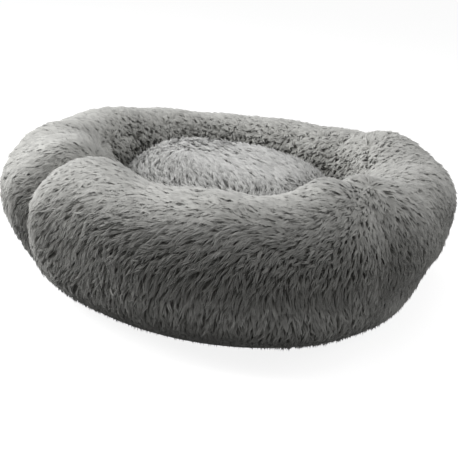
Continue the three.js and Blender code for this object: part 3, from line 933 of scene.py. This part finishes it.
pressed("non_woven", (0.66, 0.66, 0.64), (0.86, 0.86, 0.84), pitch=0.0016)
loose_fibre("fibre_filling", (0.72, 0.72, 0.70), (0.97, 0.97, 0.95))
woven(
    "base_cloth", (0.045, 0.047, 0.05), (0.10, 0.104, 0.11), pitches=(0.0009, 0.0009),
    roughness=0.6, sheen=0.0,
)
woven("lining_cloth", (0.19, 0.19, 0.195), (0.34, 0.34, 0.345), pitches=(0.0007, 0.0007))
woven("binding_tape", (0.07, 0.075, 0.08), (0.135, 0.14, 0.15), pitches=(0.0012, 0.0012))
woven("zip_tape", (0.06, 0.062, 0.07), (0.125, 0.128, 0.14), pitches=(0.0011, 0.0006))
hard("zip_coil", (0.12, 0.125, 0.135), (0.165, 0.17, 0.18), scale=400.0, roughness=0.4)
hard("zip_metal", (0.26, 0.27, 0.285), (0.38, 0.40, 0.415), scale=700.0, roughness=0.36, metallic=0.75)
hard("grip_rubber", (0.05, 0.052, 0.055), (0.085, 0.088, 0.092), scale=500.0, roughness=0.7)
hard("thread", (0.13, 0.135, 0.14), (0.22, 0.225, 0.23), scale=3000.0, roughness=0.75)
print("finishes:", ", ".join(FINISHES))

# %% [markdown]
# ## Helpers for the plainer pieces
#
# `dress` makes a finished piece from a grid. Polar grids meet themselves at a pole or a seam, so it also
# welds points that lie in the same place. `rounded_copy` keeps a solid's own shape and rounds its edges,
# which is enough for a tape or a slider. `tubes` makes threads and the zip's coils, many at once.

# %% Plain piece helpers
WELD_DISTANCE = 1e-6
FLAT_ANGLE = 1 * DEG
SHARP_ANGLE = 30 * DEG


def welded(piece):
    """The piece's mesh, ready to work on, with points in the same place made one."""
    work = bmesh.new()
    work.from_mesh(piece.data)
    bmesh.ops.remove_doubles(work, verts=work.verts, dist=WELD_DISTANCE)
    return work


def dress(name, points, faces, finish, node=None, body="root", slot=None):
    """One finished piece from points and triangles."""
    piece = mesh_object(name, points, faces)
    work = welded(piece)
    bmesh.ops.recalc_face_normals(work, faces=work.faces)
    work.to_mesh(piece.data)
    work.free()
    return hand_over(piece, finish, node, body)


def rounded_copy(name, node, finish, edge, body="root", lift=None):
    """The node's own solid with its sharp edges rounded; lift may move its points first."""
    piece = bpy.data.objects.new(name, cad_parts[node].data.copy())
    bpy.context.scene.collection.objects.link(piece)
    work = welded(piece)
    bmesh.ops.dissolve_limit(work, angle_limit=FLAT_ANGLE, verts=work.verts, edges=work.edges)
    if lift:
        for vert in work.verts:
            vert.co = lift(vert.co)
    sharp = [e for e in work.edges if e.is_manifold and e.calc_face_angle() > SHARP_ANGLE]
    bmesh.ops.bevel(
        work, geom=sharp, offset=edge, segments=2, profile=0.5, affect="EDGES", clamp_overlap=True,
    )
    work.to_mesh(piece.data)
    work.free()
    return hand_over(piece, finish, node, body)


def closed_surface(points):
    """A polar grid (rows, columns, 3) closed round its columns; its end rows meet or are poles."""
    return points.reshape(-1, 3), grid_faces(ring_grid(*points.shape[:2]))


def tubes(paths, radii, ups, sides=6):
    """Closed tubes along paths (n, k, 3), with one radius for each of the k points."""
    count, steps = paths.shape[:2]
    tangent = unit(np.gradient(paths, axis=1))
    side = unit(np.cross(tangent, ups))
    ridge = np.cross(side, tangent)
    angle = FULL_TURN * np.arange(sides)[:, None] / sides
    out = np.cos(angle) * side[:, :, None] + np.sin(angle) * ridge[:, :, None]
    points = paths[:, :, None] + np.broadcast_to(radii, steps)[None, :, None, None] * out
    faces = [grid_faces(ring_grid(steps, sides))]
    first = np.arange(sides)
    for end in (first, steps * sides - 1 - first):
        faces.append(np.stack([np.full(sides - 2, end[0]), end[2:], end[1:-1]], -1))
    starts = np.arange(count)[:, None, None] * steps * sides
    return points.reshape(-1, 3), (starts + np.concatenate(faces)).reshape(-1, 3)


# %% Stitches
THREAD_RADIUS = 0.18 * MM
THREAD_TAPER = np.array([0.6, 1, 1, 1, 0.6])
STITCH_HEIGHT = 0.25 * MM
STITCH_LENGTH = 3.2 * MM
STITCH_PITCH = 4.2 * MM


def stitches(name, starts, ends, ups, slot):
    """A row of stitches, each a short thread that dips into the cloth at both ends."""
    shares = np.linspace(0, 1, len(THREAD_TAPER))[None, :, None]
    arch = np.sin(math.pi * shares) * STITCH_HEIGHT
    paths = starts[:, None] * (1 - shares) + ends[:, None] * shares + arch * ups[:, None]
    return dress(name, *tubes(paths, THREAD_TAPER * THREAD_RADIUS, ups[:, None]), "thread", slot=slot)


# %% [markdown]
# ## Inside the rim and the cushion
#
# The rim's plush goes round a bag of non-woven cloth, which holds a ring of loose fibre. The cushion has its
# own fibre, closed in below by a plain cloth with a corded seam. All of them use the formulas of the rim and
# the cushion again, sunk deeper, so that each layer stays inside the one round it. A boolean cut could
# hollow them out too, but it leaves long thin faces.

# %% Filling and liners
STEPS_ROUND = 184
LINER_ROWS = 64
RIM_FIBRE_ROWS = 65
CUSHION_FIBRE_ROWS = 40
CUSHION_CLOTH_ROWS = 14
LINER_SINK = 16.4 * MM
LINER_HEM_SINK = 2.0 * MM
LINER_THICKNESS = 1.0 * MM
LINER_SLIT = 8 * DEG
FILLING_SINK = 17.8 * MM
FILLING_HEM_SINK = 3.4 * MM
CLUMP_DEPTH = 2.5 * MM
CLUMP_WAVES = {"count": 10, "round_range": (18, 60), "across_range": (-9, 10)}
CLUMP_CONTRAST = 2.2
CUSHION_CLOTH_SINK = 12 * MM
CUSHION_CLOTH_EDGE = CUSHION_SEAM - 0.2 * DEG
SEAM_CORD_SINK = 0.5 * MM
SEAM_CORD_RADIUS = 1.1 * MM
DOWN_TURN, UP_TURN = -math.pi / 2, math.pi / 2
X_AXIS, Z_AXIS = np.eye(3)[None, None, 0], np.eye(3)[None, None, 2]


def clumps(azimuth, turn, seed):
    """Soft clumps of fibre, from 0 to 1."""
    return 0.5 + 0.5 * np.tanh(waves(azimuth, turn, seed, **CLUMP_WAVES) / CLUMP_CONTRAST)


def polar_grid(low_turn, high_turn, rows):
    around = np.linspace(0, FULL_TURN, STEPS_ROUND, endpoint=False)
    return np.meshgrid(around, np.linspace(low_turn, high_turn, rows))


def rim_liner_bag():
    around, across = polar_grid(DOWN_TURN + LINER_SLIT, FULL_TURN + DOWN_TURN - LINER_SLIT, LINER_ROWS)
    sides = [
        rim_point(around, across, LINER_SINK + deep, LINER_HEM_SINK + deep)
        for deep in (0.0, LINER_THICKNESS)
    ]
    return dress("rim_liner_bag", *shell(*sides, is_ring=True), "non_woven", "rim_liner")


def rim_fibre_ring():
    around, across = polar_grid(DOWN_TURN, FULL_TURN + DOWN_TURN, RIM_FIBRE_ROWS)
    sink = FILLING_SINK + CLUMP_DEPTH * clumps(around, across, seed=41)
    ring = rim_point(around, across, sink, FILLING_HEM_SINK)
    return dress("rim_fibre_ring", *closed_surface(ring), "fibre_filling", "rim_filling")


def cushion_fibre():
    around, across = polar_grid(DOWN_TURN, UP_TURN, CUSHION_FIBRE_ROWS)
    soft = np.cos(across) * clumps(around, across, seed=42)
    dome = cushion_point(around, across, LINER_SINK + CLUMP_DEPTH * soft)
    return dress("cushion_fibre", *closed_surface(dome), "fibre_filling", "cushion_filling", "cushion")


def cushion_base_cloth():
    around, across = polar_grid(DOWN_TURN, CUSHION_CLOTH_EDGE, CUSHION_CLOTH_ROWS)
    sides = [cushion_point(around, across, sink) for sink in (0.0, CUSHION_CLOTH_SINK)]
    return dress(
        "cushion_base_cloth", *shell(*sides, is_ring=True), "lining_cloth", "cushion_underside", "cushion",
    )


def cushion_seam_cord():
    around = np.linspace(0, FULL_TURN, STEPS_ROUND + 1)
    path = cushion_point(around, CUSHION_SEAM, SEAM_CORD_SINK)[None]
    cord = tubes(path, SEAM_CORD_RADIUS, Z_AXIS, sides=8)
    return dress("cushion_seam_cord", *cord, "lining_cloth", body="cushion")


rim_liner_bag()
rim_fibre_ring()
cushion_fibre()
cushion_base_cloth()
cushion_seam_cord()
print("filling, liner and cushion cloth made")

# %% [markdown]
# ## The floor of the bed
#
# From below the bed shows its base cloth, which has small rubber dots so that it doesn't slide. Wadding
# lies on it, with a groove for the zip, and the lining on top closes the well. The two halves of the base
# are copies of their solids. Dots could be painted on, but real ones catch the light at a slant.

# %% Base cloth
GRIP_HEIGHT = 0.5 * MM
GRIP_PITCH = 12 * MM
GRIP_RADIUS = 2.2 * MM
GRIP_TAPER = np.array([0.72, 1, 1])
GRIP_LEVELS = np.array([0, 0.6, 1.2])
EDGE_MARGIN = 7 * MM
ZIP_MARGIN = 4 * MM
BASE_EDGE = 0.25 * MM


def node_reach(node):
    """The least and greatest distance of a node's points from the upright axis."""
    places = np.array([v.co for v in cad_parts[node].data.vertices])
    distance = np.hypot(places[:, 0], places[:, 1])
    return float(distance.min()), float(distance.max())


_, TAPE_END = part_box("zip_tape_rear")
BASE_RADIUS = node_reach("base_panel_front")[1]


def lifted_off_dots(place):
    return Vector((place.x, place.y, max(place.z, GRIP_HEIGHT)))


def grip_dots(side, half):
    """Low rubber dots in a triangular grid under one half of the base."""
    row_gap = GRIP_PITCH * math.sqrt(0.75)
    most = math.ceil(BASE_RADIUS / GRIP_PITCH) + 1
    places = []
    for row in range(math.ceil(BASE_RADIUS / row_gap)):
        y = side * (row + 0.5) * row_gap
        for column in range(-most, most + 1):
            x = (column + 0.5 * (row % 2)) * GRIP_PITCH
            over_zip = abs(x) < TAPE_END.x + ZIP_MARGIN and abs(y) < TAPE_END.y + ZIP_MARGIN
            if math.hypot(x, y) < BASE_RADIUS - EDGE_MARGIN and not over_zip:
                places.append((x, y, 0.0))
    paths = np.array(places)[:, None] + (GRIP_LEVELS * GRIP_HEIGHT)[:, None] * Z_AXIS
    dots = tubes(paths, GRIP_TAPER * GRIP_RADIUS, X_AXIS, sides=8)
    dress(f"grip_dots_{half}", *dots, "grip_rubber", slot="base_cloth")
    print("base", half, "has", len(places), "grip dots")


for half, side in (("front", -1), ("rear", 1)):
    node = f"base_panel_{half}"
    cloth = rounded_copy(f"base_cloth_{half}", node, "base_cloth", BASE_EDGE, lift=lifted_off_dots)
    grip_dots(side, half)

# %% Wadding and floor lining
WADDING_ROWS = 60
WADDING_COLUMNS = 56
ROW_LIMIT = 88
GROOVE_GAP = 0.3 * MM
GROOVE_MARGIN = 1 * MM
GROOVE_WALL = 0.2 * MM
GROOVE_CLEAR = 2 * MM
END_WALL_SHARE = 0.002
END_CLEAR_SHARE = 0.02
WADDING_EDGE = 4 * MM
WADDING_EDGE_DROP = 1.5 * MM
WADDING_CLUMPS = 0.5 * MM
LINING_ROWS = 36
RIPPLE = 0.12 * MM


def wadding_grid(radius, half_length, half_width):
    """A disc's grid, with two close rows or columns where each wall of the zip's groove stands."""
    rows = radius * np.sin(np.radians(np.linspace(-ROW_LIMIT, ROW_LIMIT, WADDING_ROWS)))
    walls = np.array([half_width, half_width + GROOVE_WALL])
    clear = np.abs(np.abs(rows) - half_width) > GROOVE_CLEAR
    rows = np.sort(np.concatenate([rows[clear], walls, -walls]))
    end = half_length / math.sqrt(radius ** 2 - half_width ** 2)
    ends = np.array([end, end + END_WALL_SHARE])
    inside = np.linspace(END_CLEAR_SHARE - end, end - END_CLEAR_SHARE, WADDING_COLUMNS)
    share, y = np.meshgrid(np.sort(np.concatenate([inside, ends, -ends, [-1, 1]])), rows)
    over_zip = (np.abs(share) <= end + 1e-6) & (np.abs(y) <= half_width + 1e-6)
    return share * np.sqrt(radius ** 2 - y ** 2), y, over_zip


def wadding_pad():
    low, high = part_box("base_wadding")
    _, slider_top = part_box("zip_slider")
    x, y, over_zip = wadding_grid(high.x, TAPE_END.x + GROOVE_MARGIN, TAPE_END.y + GROOVE_MARGIN)
    from_middle = np.hypot(x, y)
    edge = WADDING_EDGE_DROP * (1 - smoothstep((high.x - from_middle) / WADDING_EDGE, 0, 1))
    soft = WADDING_CLUMPS * clumps(np.arctan2(y, x), from_middle / high.x * 3, seed=43)
    top = np.stack([x, y, high.z - edge - soft], -1)
    bottom = np.stack([x, y, np.where(over_zip, slider_top.z + GROOVE_GAP, low.z + edge)], -1)
    return dress("wadding_pad", *shell(top, bottom), "fibre_filling", "base_wadding")


def floor_cloth():
    low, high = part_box("floor_lining")
    azimuth, share = polar_grid(0.0, 1.0, LINING_ROWS)
    ripple = RIPPLE * (np.sin(7 * azimuth + 9 * share) * np.sin(14 * share) - 1)
    sides = [polar(high.x * share, azimuth, level) for level in (high.z + ripple, low.z)]
    return dress("floor_cloth", *shell(*sides, is_ring=True), "lining_cloth", "floor_lining")


wadding_pad()
floor_cloth()

# %% [markdown]
# ## The binding
#
# Cover and base are sewn together round the edge of the base, and a folded tape binds that seam. A curve
# with a bevel could draw it, but its section is a rounded box, so its outline is swept round as a grid. It
# carries two rows of stitches, each a small arched thread.

# %% Binding
BINDING_ROUNDING = 1.1 * MM
BINDING_STEPS = 256
BINDING_WAVES = 31
BINDING_WAVE_SHARE = 0.0006
BINDING_STITCH_INSET = 1.4 * MM


def binding_section(inner, outer, bottom, top):
    """Radius and level of the tape's section; its outer corners have one point more."""
    r = BINDING_ROUNDING
    section = [
        (inner, bottom + r), (inner + r, bottom), (outer - r, bottom), (outer - 0.3 * r, bottom + 0.3 * r),
        (outer, bottom + r), (outer, top - r), (outer - 0.3 * r, top - 0.3 * r), (outer - r, top),
        (inner + r, top), (inner, top - r), (inner, bottom + r),
    ]
    return np.array(section).T[:, :, None]


def binding_stitches(row, radius, level):
    count = int(FULL_TURN * radius / STITCH_PITCH)
    start = FULL_TURN * np.arange(count) / count
    ends = [polar(radius, azimuth, level) for azimuth in (start, start + STITCH_LENGTH / radius)]
    stitches(f"binding_stitches_{row}", *ends, polar(1.0, start, 0.0), "binding_tape")


def binding_ring():
    inner, outer = node_reach("base_seam_binding")
    low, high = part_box("base_seam_binding")
    radius, level = binding_section(inner, outer, low.z, high.z)
    around = np.linspace(0, FULL_TURN, BINDING_STEPS, endpoint=False)
    wave = 1 + BINDING_WAVE_SHARE * np.sin(BINDING_WAVES * around)
    ring = polar(radius * wave, around, level)
    dress("binding_ring", *closed_surface(ring), "binding_tape", "base_seam_binding")
    binding_stitches(1, outer, low.z + BINDING_STITCH_INSET)
    binding_stitches(2, outer, high.z - BINDING_STITCH_INSET)
    print("binding runs from", round(inner, 3), "to", round(outer, 3))


binding_ring()

# %% [markdown]
# ## The zip
#
# The coil is one nylon thread, wound in an oval and flattened on its tape. A texture could draw its turns,
# but each half is made as a helix with a turn every 1.3 mm, because a zip is looked at from close by.
# Slider, pull and stops keep the solid model's shapes, with their edges rounded.

# %% Zip
COIL_PITCH = 1.3 * MM
COIL_WIRE = 0.3 * MM
COIL_STEPS = 10
TAPE_EDGE = 0.15 * MM
STOP_EDGE = 0.3 * MM
SLIDER_EDGE = 0.15 * MM
PULL_EDGE = 0.2 * MM
TAPE_STITCH_INSET = 4.2 * MM
TAPE_END_MARGIN = 6 * MM


def coil_helix(half):
    low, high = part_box(f"zip_coil_{half}")
    middle, reach = (low + high) / 2, (high - low) / 2
    turns = (2 * reach.x - 2 * COIL_WIRE) / COIL_PITCH
    angle = np.linspace(0, FULL_TURN * turns, int(turns * COIL_STEPS))
    path = np.stack([
        low.x + COIL_WIRE + COIL_PITCH * angle / FULL_TURN,
        middle.y + (reach.y - COIL_WIRE) * np.cos(angle),
        middle.z + (reach.z - COIL_WIRE) * np.sin(angle),
    ], -1)
    coil = tubes(path[None], COIL_WIRE, X_AXIS, sides=5)
    dress(f"coil_helix_{half}", *coil, "zip_coil", f"zip_coil_{half}")
    print("coil", half, "has", int(turns), "turns")


def tape_stitches(half, side):
    low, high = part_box(f"zip_tape_{half}")
    y = side * (max(abs(low.y), abs(high.y)) - TAPE_STITCH_INSET)
    x = np.arange(low.x + TAPE_END_MARGIN, high.x - TAPE_END_MARGIN, STITCH_PITCH)
    start = np.stack(np.broadcast_arrays(x, y, low.z), -1)
    down = np.broadcast_to([0.0, 0.0, -1.0], start.shape)
    stitches(f"tape_stitches_{half}", start, start + [STITCH_LENGTH, 0, 0], down, "zip_tape")


for half, side in (("front", -1), ("rear", 1)):
    rounded_copy(f"tape_{half}", f"zip_tape_{half}", "zip_tape", TAPE_EDGE)
    rounded_copy(f"top_stop_{half}", f"zip_top_stop_{half}", "zip_metal", STOP_EDGE)
    coil_helix(half)
    tape_stitches(half, side)
rounded_copy("bottom_stop", "zip_bottom_stop", "zip_metal", STOP_EDGE)
rounded_copy("slider_body", "zip_slider", "zip_metal", SLIDER_EDGE, "slider")
rounded_copy("pull_tab", "zip_pull", "zip_metal", PULL_EDGE, "pull")

# %% [markdown]
# ## Floor and light
#
# The floor is plain and pale. A camera ray sees it nearly white, and what it throws back on the bed is
# duller, so that the underside stays in shade as it does in the photograph. A white room lit to white would
# need so much light that the plush lost its colour. A broad lamp hangs nearly overhead, a strong one stands
# at the left and a weak one at the right, and the world fills the shade.

# %% Stage
FLOOR_SIZE = 40
FLOOR_DULL = (0.05, 0.05, 0.05, 1)
FLOOR_PALE = (0.40, 0.40, 0.40, 1)
FLOOR_GLOW = 0.86
WORLD_FILL = (0.26, 0.26, 0.26, 1)
LAMP_AIM = (0, 0, 0.1)


def shown_directly(tree, plain, shown, output):
    """Show one shader to rays from the camera or a reflection, and the plain one to all others."""
    path = add_node(tree, "LightPath", {}).outputs
    seen = path["Is Camera Ray"]
    for way in ("Is Glossy Ray", "Is Transmission Ray"):
        seen = math_node(tree, "MAXIMUM", seen, path[way])
    mix = add_node(tree, "MixShader", {0: seen, 1: plain.outputs[0], 2: shown.outputs[0]})
    plug(tree, tree.nodes[output].inputs, {"Surface": mix.outputs["Shader"]})


def stage_floor():
    bpy.ops.mesh.primitive_plane_add(size=FLOOR_SIZE)
    floor = bpy.context.object
    floor.name = "studio_floor"
    tree = new_finish("studio_floor")
    tree.nodes.remove(tree.nodes["Principled BSDF"])
    dull = add_node(tree, "BsdfDiffuse", {"Color": FLOOR_DULL})
    pale = add_node(tree, "BsdfDiffuse", {"Color": FLOOR_PALE})
    glow = add_node(tree, "Emission", {"Strength": FLOOR_GLOW})
    bright = add_node(tree, "AddShader", {0: pale.outputs[0], 1: glow.outputs[0]})
    shown_directly(tree, dull, bright, "Material Output")
    floor.data.materials.append(FINISHES["studio_floor"])
    return floor


def soft_lamp(name, size, power, place):
    lamp = bpy.data.lights.new(name, "AREA")
    lamp.shape = "DISK"
    lamp.size = size
    lamp.energy = power
    holder = bpy.data.objects.new(name, lamp)
    holder.location = place
    holder.rotation_euler = (Vector(LAMP_AIM) - Vector(place)).to_track_quat("-Z", "Y").to_euler()
    bpy.context.scene.collection.objects.link(holder)


def studio_world():
    world = bpy.data.worlds.new("studio")
    world.use_nodes = True
    tree = world.node_tree
    fill = tree.nodes["Background"]
    plug(tree, fill.inputs, {"Color": WORLD_FILL})
    white = add_node(tree, "Background", {"Color": (1, 1, 1, 1)})
    shown_directly(tree, fill, white, "World Output")
    bpy.context.scene.world = world


stage_floor()
soft_lamp("top_soft_lamp", 1.6, 9.5, (-0.1, 0.20, 1.80))
soft_lamp("left_soft_lamp", 1.2, 29.0, (-1.7, 0.1, 0.9))
soft_lamp("right_soft_lamp", 1.2, 5.5, (1.7, 0.25, 0.9))
studio_world()
bpy.context.scene.view_settings.view_transform = "Standard"
print("lamps:", ", ".join(lamp.name for lamp in bpy.data.lights))

# %% [markdown]
# ## The camera
#
# The camera stands where the photograph was taken from: in front, 20 degrees up and tipped a little. Its
# distance, tilt and focal length were fitted to the bed's outline, and the aim says how many pixels the
# bed's middle lies off the picture's. A lens shift would do the same, but a turn keeps other views true.

# %% Camera
CAMERA_AIM = Vector((0, 0, 0.08))
CAMERA_DISTANCE = 1.093
CAMERA_ELEVATION = 20.0 * DEG
CAMERA_ROLL = -7.06 * DEG
SENSOR_WIDTH = 36
IMAGE_WIDTH = 458
FOCAL_PIXELS = 783
AIM_PIXELS = (2.55, 22.9)


def photo_camera():
    camera = bpy.data.cameras.new("camera")
    camera.sensor_width = SENSOR_WIDTH
    camera.lens = SENSOR_WIDTH * FOCAL_PIXELS / IMAGE_WIDTH
    back = Vector((0, -math.cos(CAMERA_ELEVATION), math.sin(CAMERA_ELEVATION)))
    level_right = Vector((1, 0, 0))
    level_up = back.cross(level_right)
    right = math.cos(CAMERA_ROLL) * level_right - math.sin(CAMERA_ROLL) * level_up
    up = math.sin(CAMERA_ROLL) * level_right + math.cos(CAMERA_ROLL) * level_up
    forward = (-back * FOCAL_PIXELS - right * AIM_PIXELS[0] - up * AIM_PIXELS[1]).normalized()
    right = (right - right.dot(forward) * forward).normalized()
    turn = Matrix((right, right.cross(forward), -forward)).transposed()
    place = CAMERA_AIM + back * CAMERA_DISTANCE
    holder = bpy.data.objects.new("camera", camera)
    holder.matrix_world = Matrix.Translation(place) @ turn.to_4x4()
    bpy.context.scene.collection.objects.link(holder)
    bpy.context.scene.camera = holder
    print("camera at", [round(v, 3) for v in place], f"with {camera.lens:.1f} mm")


photo_camera()

# %% [markdown]
# Pile may stand a little proud of the solid bed, but not change its size.
